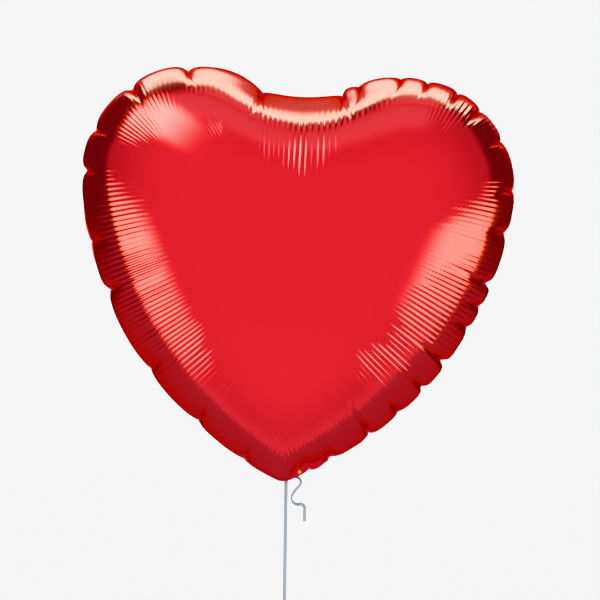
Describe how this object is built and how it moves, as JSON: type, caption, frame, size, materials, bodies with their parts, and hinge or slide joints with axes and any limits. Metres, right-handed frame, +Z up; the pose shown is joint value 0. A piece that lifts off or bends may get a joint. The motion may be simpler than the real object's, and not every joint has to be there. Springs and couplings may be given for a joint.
{
  "type": "heart foil balloon",
  "caption": "Inflated heart-shaped metallised foil balloon with a heat-sealed rim, self-sealing inflation tail, and a tied ribbon with a curled loose end and end loop.",
  "frame": {"origin": "middle of the ribbon's tie round the gathered neck, just behind the heart's point", "axes": "+Z up from the heart's point to its lobes, +Y from the front panel to the back panel, +X across the heart"},
  "size_m": [0.3738, 0.176, 0.5051],
  "materials": {
    "foil_red": "high gloss metallised film, red",
    "seam_red": "glossy heat-sealed film, red",
    "valve_film": "clear thin polyethylene film",
    "mark_amber": "glossy printed dot",
    "ribbon": "satin polypropylene curling ribbon, light blue-grey"
  },
  "bodies": {
    "balloon": {"front_panel": "foil_red", "back_panel": "foil_red", "seam_flange": "seam_red", "neck_gather": "seam_red", "inlet_mark": "mark_amber", "valve_front_film": "valve_film", "valve_back_film": "valve_film"},
    "tail": {"tail_front_ply": "foil_red", "tail_back_ply": "foil_red"},
    "tie": {"ribbon_wrap": "ribbon", "ribbon_knot": "ribbon"},
    "curl": {"ribbon_curl": "ribbon"},
    "ribbon": {"ribbon_line": "ribbon", "loop_knot": "ribbon"},
    "loop": {"end_loop": "ribbon"}
  },
  "joints": [
    {"name": "tail_fold", "type": "hinge", "parent": "balloon", "child": "tail", "pos_m": [0, 0.0049, -0.0008], "axis": [1, 0, 0], "range_deg": [-75, 8]},
    {"name": "tie_turn", "type": "hinge", "parent": "balloon", "child": "tie", "pos_m": [0, 0, 0], "axis": [0, 1, 0], "range_deg": [-20, 20]},
    {"name": "curl_swing", "type": "hinge", "parent": "tie", "child": "curl", "pos_m": [0.0062, 0, -0.0012], "axis": [1, 0, 0], "range_deg": [-20, 20]},
    {"name": "ribbon_swing", "type": "hinge", "parent": "tie", "child": "ribbon", "pos_m": [0.003, 0, -0.0032], "axis": [1, 0, 0], "range_deg": [-35, 35]},
    {"name": "loop_swing", "type": "hinge", "parent": "ribbon", "child": "loop", "pos_m": [0.0072, 0, -0.1115], "axis": [1, 0, 0], "range_deg": [-60, 60]}
  ]
}
